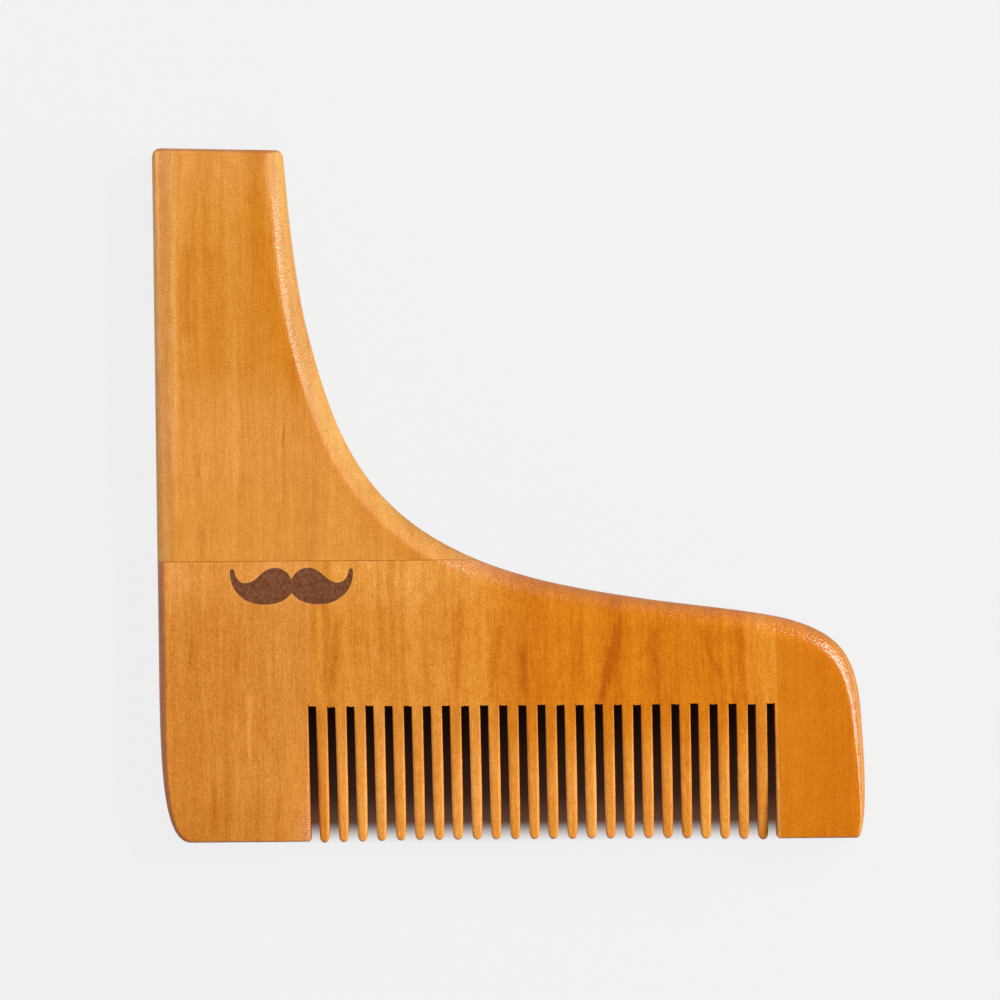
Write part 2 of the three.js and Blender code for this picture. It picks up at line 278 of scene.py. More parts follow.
def comb_outline():
    """Counter-clockwise round the sawn comb, from the heel's foot."""
    outline = Outline()
    half = SLOT_WIDTH / 2
    heel_x = slot_centre(0, FOOT_Y) - half
    end_x = slot_centre(SLOT_COUNT - 1, FOOT_Y) + half
    outline.run([HEEL_FOOT, (heel_x - HEEL_CORNER, FOOT_Y)], LINE_SPACING, FOOT, CORNER)
    outline.run([(heel_x - HEEL_CORNER, FOOT_Y), (heel_x, FOOT_Y), (heel_x, FOOT_Y + HEEL_CORNER)],
                FINE_SPACING / 2, CORNER, CORNER)
    add_teeth(outline)
    outline.run([(end_x, FOOT_Y + END_CORNER), (end_x, FOOT_Y), (end_x + END_CORNER, FOOT_Y)],
                FINE_SPACING / 2, CORNER, CORNER)
    outline.run([(end_x + END_CORNER, FOOT_Y), END_FOOT], LINE_SPACING, CORNER, FOOT)
    outline.run([END_FOOT, (53.12, FOOT_Y), SIDE_START], FINE_SPACING, FOOT, FOOT)
    outline.run([SIDE_START, (54.45, -49.3), (53.98, -40.3), SHOULDER_START],
                CURVE_SPACING, FOOT, SIDE)
    outline.run([SHOULDER_START, (52.6, -25), (50.4, -21.7), SHOULDER_END],
                CURVE_SPACING, SIDE, SHOULDER)
    outline.run([SHOULDER_END, (38.2, -18.15), (26.5, -17.1), SPINE_MIDDLE],
                CURVE_SPACING, SHOULDER, SPINE)
    outline.run([SPINE_MIDDLE, (9.1, -14.35), (-3.6, -12.35), CURVE_START],
                CURVE_SPACING, SPINE, CURVE)
    outline.run([CURVE_START, (-23.7, 2.15), (-27.15, 11.65), CURVE_END],
                CURVE_SPACING, CURVE, CURVE)
    outline.run([CURVE_END, (-32.4, 31.45), (-33.4, 43.6), ARM_TIP_INNER],
                CURVE_SPACING, CURVE, ARM_TIP)
    outline.run([ARM_TIP_INNER, (-34.3, TOP - 0.42), CROWN_INNER], FINE_SPACING, ARM_TIP, ARM_TIP)
    outline.run([CROWN_INNER, CROWN_OUTER], LINE_SPACING, ARM_TIP, CROWN)
    outline.run([CROWN_OUTER, (LEFT, TOP), BACK_TOP], FINE_SPACING, CROWN, CROWN)
    outline.run([BACK_TOP, BACK_BOTTOM], LINE_SPACING, CROWN, BACK)
    outline.run([BACK_BOTTOM, (-53.42, -43.05), (-52.9, FOOT_Y), HEEL_FOOT],
                CURVE_SPACING, BACK, FOOT)
    return outline


# ---- Thinning of the faces --------------------------------------------------------------

def run_out(distance, down, width, depth, softness):
    """Depth of a run-out at a distance from the slot beside it."""
    reach = width * math.sqrt(down)
    return depth * down * max(0.0, 1 - distance / reach) ** softness


def relief(x, y):
    """How far each face is ground down below the blank's full thickness."""
    down = min(THINNING_LIMIT, (ROOT_Y - y) / (ROOT_Y - TIP_Y))
    if down <= 0:
        return 0.0
    across = x - LEAN * (ROOT_Y - y)
    half = SLOT_WIDTH / 2
    if across < FIRST_SLOT_X:
        return run_out(FIRST_SLOT_X - half - across, down, **HEEL_RUN_OUT)
    last_slot = FIRST_SLOT_X + TOOTH_COUNT * PITCH
    if across > last_slot:
        return run_out(across - last_slot - half, down, **END_RUN_OUT)
    return (MIDDLE_Z - TIP_HALF_THICKNESS) * down * down / (down + THINNING_ONSET) * (
        1 + THINNING_ONSET)


# ---- Emblem -----------------------------------------------------------------------------
# A plain moustache, burnt shallowly into the front face.

EMBLEM = (-33.2, -13.7)
EMBLEM_DEPTH = 0.1
EMBLEM_WALL = 0.09
EMBLEM_SPACING = 0.3
EMBLEM_CLEARANCE = 11
MOUSTACHE_HALF = [
    [(0, 0.95), (0.6, 2.4), (2.1, 3.0), (3.4, 2.55)],
    [(3.4, 2.55), (4.9, 2.05), (5.3, 0.55), (6.9, 0.4)],
    [(6.9, 0.4), (8.0, 0.3), (8.5, 1.2), (8.7, 2.25)],
    [(8.7, 2.25), (8.8, 2.7), (9.35, 2.7), (9.4, 2.2)],
    [(9.4, 2.2), (9.6, -0.5), (7.6, -2.6), (5.0, -2.9)],
    [(5.0, -2.9), (2.9, -3.1), (0.9, -2.6), (0, -1.15)],
]


def moustache():
    """Counter-clockwise outline, in millimetres in the frame."""
    outline = Outline()
    left = [[(-x, y) for x, y in controls] for controls in MOUSTACHE_HALF]
    right = [controls[::-1] for controls in reversed(MOUSTACHE_HALF)]
    for controls in left + right:
        outline.run(controls, EMBLEM_SPACING, CORNER, CORNER)
    outline.points = [(EMBLEM[0] + x, EMBLEM[1] + y) for x, y in outline.points]
    return outline


# ---- Mesh of the whole comb -------------------------------------------------------------

def turning_radius(points):
    """Radius of each convex bend of a closed outline, without limit where it is straight."""
    along = np.roll(points, -1, axis=0) - points
    length = np.linalg.norm(along, axis=1)
    heading = np.arctan2(along[:, 1], along[:, 0])
    turn = (heading - np.roll(heading, 1) + math.pi) % (2 * math.pi) - math.pi
    spacing = (length + np.roll(length, 1)) / 2
    radius = np.where(turn > LEAST_TURN, spacing / np.maximum(turn, LEAST_TURN), np.inf)
    return radius, length


def fitting_reach(points, reach):
    """Round-over reaches, cut down where a tight outside corner has no room for them."""
    radius, length = turning_radius(points)
    limit = ROOM_IN_CORNER * radius
    for _ in range(2):
        for i in range(len(limit)):
            limit[i] = min(limit[i], limit[i - 1] + length[i - 1])
        for i in reversed(range(len(limit))):
            limit[i - 1] = min(limit[i - 1], limit[i] + length[i - 1])
    return np.minimum(reach, limit / (1 + HOLD_SHARE))


def inside(points, polygon):
    """Which points lie inside a closed polygon."""
    x, y = points[:, 0], points[:, 1]
    within = np.zeros(len(points), bool)
    for (ax, ay), (bx, by) in zip(polygon, np.roll(polygon, -1, axis=0)):
        spans = (ay > y) != (by > y)
        within[spans] ^= x[spans] < ax + (bx - ax) * (y[spans] - ay) / (by - ay)
    return within


def grid(x_range, y_range, spacing):
    x, y = np.meshgrid(np.arange(*x_range, spacing), np.arange(*y_range, spacing))
    y[:, 1::2] += spacing / 2
    return np.stack([x.ravel(), y.ravel()], axis=1)


def face_points(rim):
    """Mesh points spread over a face: close together where the run-outs shape it."""
    spread = [grid((LEFT, RIGHT), (TIP_Y, TOP), FLAT_SPACING)]
    heel_edge = FIRST_SLOT_X - HEEL_RUN_OUT["width"] - 1
    spread.append(grid((heel_edge, FIRST_SLOT_X), (TIP_Y, ROOT_Y + 1), SHAPED_SPACING))
    end_edge = END_JOINT_X + END_RUN_OUT["width"] + 1
    spread.append(grid((END_JOINT_X - SLIVER, end_edge), (TIP_Y, ROOT_Y + 1), SHAPED_SPACING))
    points = np.concatenate(spread)
    points = points[inside(points, rim)]
    tree = kdtree.KDTree(len(rim))
    for i, (x, y) in enumerate(rim):
        tree.insert((x, y, 0), i)
    tree.balance()
    clear = [tree.find((x, y, 0))[2] > RIM_CLEARANCE for x, y in points]
    return points[np.array(clear)]


def build_comb():
    """The whole comb as one closed bmesh, in millimetres."""
    outline = comb_outline()
    plan = np.array(outline.points)
    inward = outline.normals()
    reach, depth, fullness, carried = np.array(outline.rounds).T
    fitted = fitting_reach(plan, reach)
    inset = inward * fitted[:, None]
    inset[:, 0] -= carried
    count = len(plan)

    # Rings from the side wall up over the edge, then a flat rim that holds the face level.
    rings = []
    for step in range(ROUND_STEPS + 1):
        angle = math.pi / 2 * step / ROUND_STEPS
        share = 1 - math.cos(angle) ** (2 / fullness)
        drop = depth * (1 - math.sin(angle) ** (2 / fullness))
        rings.append((plan + inset * share[:, None], drop))
    rim = plan + inset + inward * (fitted * HOLD_SHARE)[:, None]
    rings.append((rim, np.zeros(count)))

    emblem = np.array(moustache().points)
    emblem_floor = emblem + moustache().normals() * EMBLEM_WALL
    spread = face_points(rim)
    near_emblem = np.linalg.norm(spread - np.array(EMBLEM), axis=1) < EMBLEM_CLEARANCE

    positions, faces, sawn = [], [], []
    in_slots = slot_points(plan)

    def add(points, drops, side, wall=None):
        first = len(positions)
        for i, ((x, y), drop) in enumerate(zip(points, drops)):
            half = MIDDLE_Z - relief(x, y) - drop
            positions.append((x, y, MIDDLE_Z + side * half))
            sawn.append(wall[i] if wall is not None else 0.0)
        return first

    def join(a, b):
        for i in range(count):
            j = (i + 1) % count
            faces.append((a + i, a + j, b + j, b + i))

    def cover(rim_start, side, loops, loose):
        """Fills a face inside its rim; loops are (points, drop) pairs that it passes through."""
        flat = [tuple(p) for p in rim]
        ids = list(range(rim_start, rim_start + count))
        edges = []
        for points, drop in loops:
            start = len(flat)
            flat += [tuple(p) for p in points]
            first = add(points, [drop] * len(points), side)
            ids += range(first, first + len(points))
            edges += [(start + i, start + (i + 1) % len(points)) for i in range(len(points))]
        flat += [tuple(p) for p in loose]
        first = add(loose, [0.0] * len(loose), side)
        ids += range(first, first + len(loose))
        keep_inside = 1
        made = delaunay_2d_cdt([Vector(p) for p in flat], edges, [list(range(count))],
                               keep_inside, FILL_TOLERANCE)
        triangles, origins = made[2:4]
        for face in triangles:
            corners = [ids[origins[v][0]] for v in face]
            faces.append(corners if side > 0 else corners[::-1])

    starts = {}
    for side in (-1, 1):
        starts[side] = [add(points, drops, side, in_slots if k == 0 else None)
                        for k, (points, drops) in enumerate(rings)]
    join(starts[-1][0], starts[1][0])
    for a, b in zip(starts[1], starts[1][1:]):
        join(a, b)
    for a, b in zip(starts[-1], starts[-1][1:]):
        join(b, a)
    cover(starts[1][-1], 1, [(emblem, 0.0), (emblem_floor, EMBLEM_DEPTH)], spread[~near_emblem])
    cover(starts[-1][-1], -1, [], spread)

    mesh = bpy.data.meshes.new("whole_comb")
    mesh.from_pydata(positions, [], faces)
    ground = [min(1.0, relief(x, y) / FULLY_GROUND) for x, y, _ in positions]
    for name, values in (("ground", ground), ("sawn", sawn)):
        mesh.attributes.new(name, "FLOAT", "POINT").data.foreach_set("value", values)
    comb = bmesh.new()
    comb.from_mesh(mesh)
    bpy.data.meshes.remove(mesh)
    return comb


def slot_points(plan):
    """1 for the outline points that the saw left, and 0 for the rest."""
    across = plan[:, 0] - LEAN * (ROOT_Y - plan[:, 1])
    half = SLOT_WIDTH / 2 + SAWN_MARGIN
    first, last = FIRST_SLOT_X - half, FIRST_SLOT_X + TOOTH_COUNT * PITCH + half
    below_roots = plan[:, 1] < ROOT_Y + 2 * ROOT_WANDER
    return (below_roots & (across > first) & (across < last)).astype(float)


# ---- Cutting into blocks ----------------------------------------------------------------

LEANING = Vector((1, LEAN, 0)).normalized()


def keep(part, point, normal):
    """Keeps what lies on the side of a plane that its normal points to, and closes the cut."""
    everything = part.verts[:] + part.edges[:] + part.faces[:]
    bmesh.ops.bisect_plane(part, geom=everything, plane_co=point, plane_no=normal,
                           dist=CUT_TOLERANCE, clear_inner=True)
    rim = [edge for edge in part.edges if edge.is_boundary]
    bmesh.ops.holes_fill(part, edges=rim, sides=0)


def block(name, comb, material, cuts):
    """A piece of the comb between planes, as an object that replaces its CAD node."""
    part = comb.copy()
    for point, normal in cuts:
        keep(part, Vector(point), Vector(normal))
    bmesh.ops.scale(part, vec=(MM, MM, MM), verts=part.verts)
    bmesh.ops.recalc_face_normals(part, faces=part.faces)
    mesh = bpy.data.meshes.new(name + "_wood")
    part.to_mesh(mesh)
    part.free()
    mesh.shade_smooth()
    mesh.set_sharp_from_angle(angle=math.radians(SHARP_ANGLE))
    mesh.materials.append(material)
    made = bpy.data.objects.new(name + "_finish", mesh)
    bpy.context.scene.collection.objects.link(made)
    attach(made, "root")
    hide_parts(name)
    return made


# ---- Shader helper ----------------------------------------------------------------------

NOISE_MEAN = 0.5
SEED_STEP = (7.3, 3.1, 5.7)   # how far one seed's noise lies from the next
MIX_COLOURS = (6, 7)          # a colour mix's inputs, among sockets that share their names
MIX_RESULT = 2


class Shader:
    """A material's node tree, with short calls for the nodes that it needs."""

    def __init__(self, name):
        self.material = bpy.data.materials.new(name)
        self.material.use_nodes = True
        self.tree = self.material.node_tree
        self.tree.nodes.clear()
        place = self.node("ShaderNodeTexCoord").outputs["Object"]
        self.place = self.vector("SCALE", place, scale=1 / MM)
        split = self.node("ShaderNodeSeparateXYZ", {0: self.place})
        self.x, self.y, self.z = split.outputs
        self.normal = self.node("ShaderNodeNewGeometry").outputs["Normal"]

    def node(self, kind, feeds=None, **settings):
        made = self.tree.nodes.new(kind)
        for key, value in settings.items():
            setattr(made, key, value)
        for key, value in (feeds or {}).items():
            self.feed(made.inputs[key], value)
        return made

    def feed(self, socket, value):
        if isinstance(value, bpy.types.NodeSocket):
            self.tree.links.new(value, socket)
        else:
            socket.default_value = value

    def math(self, operation, *values):
        made = self.node("ShaderNodeMath", dict(enumerate(values)), operation=operation)
        return made.outputs[0]

    def scaled(self, value, factor, added):
        """factor * value + added"""
        return self.math("MULTIPLY_ADD", value, factor, added)

    def facing(self, axis):
        """How far the surface faces along X, Y or Z, from -1 to 1."""
        return self.node("ShaderNodeSeparateXYZ", {0: self.normal}).outputs[axis]

    def add(self, *values):
        total = values[0]
        for value in values[1:]:
            total = self.math("ADD", total, value)
        return total

    def times(self, *values):
        product = values[0]
        for value in values[1:]:
            product = self.math("MULTIPLY", product, value)
        return product

    def vector(self, operation, first, second=None, scale=None):
        made = self.node("ShaderNodeVectorMath", {0: first}, operation=operation)
        if second is not None:
            self.feed(made.inputs[1], second)
        if scale is not None:
            self.feed(made.inputs["Scale"], scale)
        return made.outputs[0]

    def fade(self, value, start, end):
        """0 at start, 1 at end, and smooth between."""
        made = self.node("ShaderNodeMapRange", {"Value": value, "From Min": start,
                                                "From Max": end}, interpolation_type="SMOOTHSTEP")
        return made.outputs["Result"]

    def noise(self, size, place=None, detail=2.0, seed=0.0, roughness=0.5):
        """Noise around 0, about -0.5 to 0.5, with features of a size in mm along x, y and z."""
        stretched = self.vector("MULTIPLY", place or self.place, tuple(1 / s for s in size))
        moved = self.vector("ADD", stretched, tuple(seed * step for step in SEED_STEP))
        made = self.node("ShaderNodeTexNoise", {"Vector": moved, "Scale": 1.0, "Detail": detail,
                                                "Roughness": roughness})
        return self.math("SUBTRACT", made.outputs["Fac"], NOISE_MEAN)

    def mix(self, factor, first, second, blend="MIX"):
        made = self.node("ShaderNodeMix", data_type="RGBA", blend_type=blend)
        self.feed(made.inputs["Factor"], factor)
        for index, colour in zip(MIX_COLOURS, (first, second)):
            self.feed(made.inputs[index], colour)
        return made.outputs[MIX_RESULT]

    def tint(self, factor, colour, tint):
        """Multiplies a colour by a tint, as far as factor says."""
        return self.mix(factor, colour, (*tint, 1.0), blend="MULTIPLY")

    def ramp(self, value, stops):
        made = self.node("ShaderNodeValToRGB", {0: value})
        elements = made.color_ramp.elements
        while len(elements) < len(stops):
            elements.new(1.0)
        for element, (position, colour) in zip(elements, stops):
            element.position = position
            element.color = colour
        return made.outputs["Color"]

    def attribute(self, name):
        return self.node("ShaderNodeAttribute", attribute_name=name).outputs["Fac"]

    def finish(self, colour, roughness, height, **constants):
        """Joins up a Principled surface with bump; constants go straight onto its sockets."""
        bump = self.node("ShaderNodeBump", {"Height": height, "Distance": MM})
        surface = self.node("ShaderNodeBsdfPrincipled", {
            "Base Color": colour, "Roughness": roughness, "Normal": bump.outputs[0]})
        for key, value in constants.items():
            self.feed(surface.inputs[key.replace("_", " ")], value)
        self.tree.links.new(bump.outputs[0], surface.inputs["Coat Normal"])
        output = self.node("ShaderNodeOutputMaterial", {"Surface": surface.outputs[0]})
        output.is_active_output = True
        return self.material


def rgb(red, green, blue):
    """A colour picked as 0-255 sRGB, as the linear colour that shaders use."""
    def linear(value):
        share = value / 255
        return share / 12.92 if share <= 0.04045 else ((share + 0.055) / 1.055) ** 2.4
    return (linear(red), linear(green), linear(blue), 1.0)


# ---- Wood -------------------------------------------------------------------------------

# Sizes of what shows in the wood, in millimetres.
SWAY = (30, 55, 20)        # slow wander of the grain
SWAY_REACH = 5.0
WOBBLE = (7, 22, 7)        # quicker wander of the grain
WOBBLE_REACH = 1.2
BAND = (4.2, 150, 9)       # growth seen as broad upright bands
LINE = (0.95, 46, 2.4)     # growth lines within the bands
FIBRE = (0.2, 3.2, 0.3)    # the finest fibres
MOTTLE = (2.2, 2.6, 2.2)   # patches where the oil took unevenly
PORE = (0.19, 0.3, 0.2)    # pores, which show as speckle on the faces
STREAK_WOBBLE = (2, 9, 2)  # unevenness of single streaks
STREAK_WOBBLE_REACH = 1.6
STREAK_END = 1.6           # length over which a streak fades out
RIPPLE = (0.55, 0.21, 0.5)   # unevenness left by sanding on the rounded edges
SAW_MARK = 0.45            # spacing of the saw's scratches on the walls of the slots
SAW_MARK_STRETCH = 0.12    # how much less they vary through the thickness
CHAR = (0.42, 0.6, 0.42)   # mottling of burnt wood
GLUE_MOTTLE = (0.5, 0.5, 0.5)

# Shares of the layers of grain in its tone, which runs from dark to light.
BAND_SHARE = 0.75
LINE_SHARE = 0.55
FIBRE_SHARE = 0.6
MOTTLE_SHARE = 0.38
MIDDLE_TONE = 0.5
TONE_RANGE = 0.4

# Colours, in 0-255 sRGB.
PALE_FLECK = (246, 188, 124)
CHAR_DARK = (86, 46, 30)
CHAR_LIGHT = (128, 80, 58)
BURN_COVER = 0.93          # how much of the wood's own colour the burning hides
FLECK_COVER = 0.09
GLUE_SHADE = 0.85          # the darker patches in a glue line

# Tints that multiply the colour.
EDGE_GRAIN_SHADE_AND_SHEEN = (0.7, 0.67, 1.25)      # end grain on the rounded edges, with painted shade and a painted bluish sheen
OILED_END = (0.74, 0.63, 0.75)      # end grain on the upright sides
SAWN = (0.66, 0.58, 0.54)           # walls of the slots
SPECKLE_RED, SPECKLE_REST = 0.8, 1.1   # how strongly the pores darken red, green and blue

# Heights in the bump, in millimetres.
FIBRE_HEIGHT = 0.012
PORE_HEIGHT = 0.012
OPEN_PORE_HEIGHT = 0.05    # added on end grain
RIPPLE_HEIGHT = 0.095
SCRATCH_HEIGHT = 0.06
GLUE_HEIGHT = 0.01

# What is added to the roughness.
PORE_ROUGHNESS = 0.1
SAWN_ROUGHNESS = 0.3
END_GRAIN_ROUGHNESS = 0.1
DULL_ROUGHNESS = 0.25
GLUE_ROUGHNESS = 0.22      # all of it


def burnt(s):
    """1 on the floor of the emblem, and 0 elsewhere."""
    rim, floor = THICKNESS - 0.2 * EMBLEM_DEPTH, THICKNESS - 0.7 * EMBLEM_DEPTH
    sunk = s.fade(s.z, rim, floor)
    in_front = s.fade(s.z, THICKNESS - 2, THICKNESS - 1)
    from_emblem = s.vector("SUBTRACT", s.place, (*EMBLEM, THICKNESS))
    distance = s.node("ShaderNodeVectorMath", {0: from_emblem}, operation="LENGTH")
    near = s.fade(distance.outputs["Value"], EMBLEM_CLEARANCE, EMBLEM_CLEARANCE - 0.5)
    return s.times(sunk, in_front, near)


def charred(s):
    """Mottled brown of burnt wood."""
    flecks = s.noise(CHAR, seed=31, detail=3, roughness=0.7)
    return s.mix(s.fade(flecks, -0.16, 0.2), rgb(*CHAR_DARK), rgb(*CHAR_LIGHT))


def streak(s, wobble, low, high, width, shade):
    """A soft upright mark in the grain between two points, darker where shade is negative."""
    slope = (high[0] - low[0]) / (high[1] - low[1])
    line = s.scaled(s.y, slope, low[0] - slope * low[1])
    offset = s.math("ABSOLUTE", s.add(s.math("SUBTRACT", s.x, line), wobble))
    return s.times(s.fade(offset, width, 0.0),
                   s.fade(s.y, low[1] - STREAK_END, low[1] + STREAK_END),
                   s.fade(s.y, high[1] + STREAK_END, high[1] - STREAK_END), shade)


def wood(name, tones, seed, zones=(), streaks=(), roughness=0.22, ior=1.47, dulled=None):
    """Oiled fruitwood with upright grain.

    tones are its dark, middle and light colours. zones give a mask and the tint that
    multiplies the colour there, and streaks are single marks in the grain. dulled is a
    mask of what is less polished.
    """
    s = Shader(name)

    # The grain wanders a little from upright.
    drift = s.add(s.times(s.noise(SWAY, seed=seed), SWAY_REACH),
                  s.times(s.noise(WOBBLE, seed=seed + 1), WOBBLE_REACH))
    moved = s.node("ShaderNodeCombineXYZ", {0: drift, 1: 0.0, 2: 0.0}).outputs[0]
    grain = s.vector("ADD", s.place, moved)

    bands = s.noise(BAND, grain, seed=seed + 2)
    lines = s.noise(LINE, grain, seed=seed + 3)
    fibres = s.noise(FIBRE, grain, detail=3, seed=seed + 4)
    mottle = s.noise(MOTTLE, seed=seed + 5, detail=3, roughness=0.6)
    pores = s.noise(PORE, seed=seed + 6, detail=2, roughness=0.7)
    wobble = s.times(s.noise(STREAK_WOBBLE, seed=seed + 7), STREAK_WOBBLE_REACH)
    figure = [streak(s, wobble, *mark) for mark in streaks]
    tone = s.add(s.times(bands, BAND_SHARE), s.times(lines, LINE_SHARE),
                 s.times(fibres, FIBRE_SHARE), s.times(mottle, MOTTLE_SHARE),
                 *figure, MIDDLE_TONE)
    stops = (MIDDLE_TONE - TONE_RANGE, MIDDLE_TONE, MIDDLE_TONE + TONE_RANGE)
    colour = s.ramp(tone, [(stop, rgb(*shade)) for stop, shade in zip(stops, tones)])

    for mask, tint in zones:
        colour = s.tint(mask(s), colour, tint)

    # End grain drinks more oil, so it is darker and redder, with open pores. On the rounded edges
    # the tint also paints shade and a bluish sheen, where they turn away from the lamps.
    end_grain = s.fade(s.math("ABSOLUTE", s.facing("Y")), 0.25, 0.95)
    end_grain_shade_and_sheen = s.mix(off_side(s), (*OILED_END, 1.0), (*EDGE_GRAIN_SHADE_AND_SHEEN, 1.0))
    colour = s.mix(end_grain, colour, end_grain_shade_and_sheen, blend="MULTIPLY")

    # Saw scratches across the walls of the slots.
    sawn = s.attribute("sawn")
    scratch_place = s.vector("MULTIPLY", s.place,
                             (0.0, 1 / SAW_MARK, SAW_MARK_STRETCH / SAW_MARK))
    scratches = s.times(sawn, s.noise((1, 1, 1), scratch_place, seed=seed + 8))
    colour = s.tint(sawn, colour, SAWN)

    red, rest = [s.scaled(pores, depth, 1.0) for depth in (SPECKLE_RED, SPECKLE_REST)]
    speckled = s.node("ShaderNodeCombineXYZ", {0: red, 1: rest, 2: rest}).outputs[0]
    colour = s.mix(1.0, colour, speckled, blend="MULTIPLY")
    flecks = s.times(s.fade(pores, 0.0, 0.4), FLECK_COVER)
    colour = s.mix(flecks, colour, rgb(*PALE_FLECK))
    colour = s.mix(s.times(burnt(s), BURN_COVER), colour, charred(s))

    # Hand sanding left the rounded edges less even than the faces.
    rounded = s.fade(s.facing("Z"), 0.995, 0.93)
    ripple = s.times(s.noise(RIPPLE, seed=seed + 9), rounded)
    pitting = s.scaled(end_grain, OPEN_PORE_HEIGHT, PORE_HEIGHT)
    height = s.add(s.times(fibres, FIBRE_HEIGHT), s.times(pores, pitting),
                   s.times(ripple, RIPPLE_HEIGHT), s.times(scratches, SCRATCH_HEIGHT))
    rough = s.add(s.times(pores, PORE_ROUGHNESS), s.times(sawn, SAWN_ROUGHNESS),
                  s.times(end_grain, END_GRAIN_ROUGHNESS), roughness)
    if dulled:
        rough = s.add(rough, s.times(dulled(s), DULL_ROUGHNESS))
    return s.finish(colour, rough, height, IOR=ior)


def dried_glue(name, colour):
    """A thin film of glue, scraped flush, and scorched where the emblem crosses it."""
    s = Shader(name)
    mottle = s.noise(GLUE_MOTTLE)
    darker = [level * GLUE_SHADE for level in colour]
    shade = s.mix(s.math("ADD", mottle, NOISE_MEAN), rgb(*colour), rgb(*darker))
    shade = s.mix(s.times(burnt(s), BURN_COVER), shade, charred(s))
    return s.finish(shade, GLUE_ROUGHNESS, s.times(mottle, GLUE_HEIGHT), IOR=1.45)


# ---- Zones of the blocks ----------------------------------------------------------------
# Each zone is a mask that fades from 0 to 1 between two places in the frame.

ARC_CENTRE = (47.6, 49.4, 0)   # the arm's curved edge is nearly an arc about this point
ARC_RADIUS = 82.1


def curve_inset(s):
    """Distance in from the arm's curved edge."""
    flat = s.vector("MULTIPLY", s.place, (1, 1, 0))
    distance = s.node("ShaderNodeVectorMath", {0: flat, 1: ARC_CENTRE}, operation="DISTANCE")
    return s.math("SUBTRACT", distance.outputs["Value"], ARC_RADIUS)


def along_curve(s):
    """The oil stays amber just inside the arm's rounded edge."""
    inset = curve_inset(s)
    return s.times(s.fade(inset, 7.0, 3.6), s.fade(inset, 2.4, 3.2))


def arm_middle(s):
    """The middle of the arm is darker, except near its back edge."""
    return s.times(s.fade(s.y, 48, 36), s.fade(s.y, 10, 22), s.fade(s.x, LEFT + 3, LEFT + 6))


def off_side(s):
    """1 on the faces and their rounded edges, and 0 on the upright sides."""
    return s.fade(s.math("ABSOLUTE", s.facing("Z")), 0.0, 0.4)


def back_edge_sheen(s):
    """The pale, greyish strip beside the arm's back edge: paler wood with a painted sheen."""
    return s.times(s.fade(s.x, LEFT + 4.2, LEFT + 1.2), off_side(s))


def arm_arris_painted_light(s):
    """The arris of the arm's back edge is the palest of all: paler wood, with painted light and
    sheen on an edge that faces away from the lamps.
    """
    return s.times(s.fade(s.x, LEFT + 1.4, LEFT + 0.5), off_side(s))


def arm_foot(s):
    """The arm is more golden just above its joint."""
    return s.fade(s.y, 8, -2)


def heel_edge(s):
    """The dark strip round the heel's back edge."""
    return s.fade(s.facing("X"), -0.01, -0.3)


def under_arm(s):
    """Both lower blocks are paler just under the arm's joint."""
    ragged = s.add(s.y, s.times(s.noise((3, 9, 3), seed=21), 5.0))
    return s.times(s.fade(ragged, ARM_JOINT_Y - 9, ARM_JOINT_Y - 2), s.fade(s.x, 4, -9))


def near_foot(s):
    """The heel's foot is darker."""
    return s.fade(s.y, FOOT_Y + 9, FOOT_Y + 1)


def ground_down(s):
    """Where the run-outs beside the teeth are ground into the blocks."""
    return s.attribute("ground")


def toward_tips(s):
    """The teeth are paler than the spine."""
    return s.fade(s.y, ROOT_Y, ROOT_Y - 13)


def right_of_middle(s):
    """The tooth block darkens to the right, but for its last few millimetres and its teeth."""
    last = s.scaled(s.fade(s.x, 35.2, 36.4), -0.42, 1.0)
    above_teeth = s.scaled(toward_tips(s), -0.9, 1.0)
    return s.times(s.fade(s.x, -16, 10), last, above_teeth)


def near_end_block(s):
    """The right third of the tooth block is a little lighter again."""
    return s.fade(s.x, 14, 27)


def spine_painted_shade(s):
    """The spine's rounded edge is painted darker where it dips and faces away from the key light:
    painted shade.
    """
    return s.times(s.fade(s.facing("Y"), 0.03, 0.3), s.fade(s.x, 24, 12))


def lit_side_sheen(s):
    """Rounded edges that face right, toward the key light: a painted sheen, with less red and more
    blue.
    """
    return s.fade(s.facing("X"), 0.1, 0.5)


def dull_ends(s):
    """The concave part of the arm's edge and its tip are less polished."""
    return s.math("MAXIMUM", s.fade(s.y, 22, 9), s.fade(s.y, 43, 51))


# ---- Camera -----------------------------------------------------------------------------

CAMERA_HEIGHT = 1500       # above the comb's front face
CAMERA_WIDTH = 152.4       # what the camera sees from side to side at the front face
CAMERA_SENSOR = 36
CAMERA_CENTRE = (-1.3, -0.93)   # what it looks at
CAMERA_TURN = -0.0075      # in radians, against the comb's lean


def add_camera():
    """Looks straight down from a distance, as with a long lens."""
    data = bpy.data.cameras.new("camera")
    data.sensor_width = CAMERA_SENSOR
    data.lens = CAMERA_SENSOR * CAMERA_HEIGHT / CAMERA_WIDTH
    data.clip_start = 0.01
    data.clip_end = 20
    camera = bpy.data.objects.new("camera", data)
    camera.location = Vector((*CAMERA_CENTRE, THICKNESS + CAMERA_HEIGHT)) * MM
    camera.rotation_euler = (0, 0, CAMERA_TURN)
    bpy.context.scene.collection.objects.link(camera)
    bpy.context.scene.camera = camera


add_camera()


# ---- Floor and light --------------------------------------------------------------------

FLOOR_EDGE = 4.0           # metres from the middle
FLOOR_DROP = 0.05          # millimetres, so that it doesn't coincide with the back face
FLOOR_PAPER = (0.03, 0.03, 0.03, 1.0)
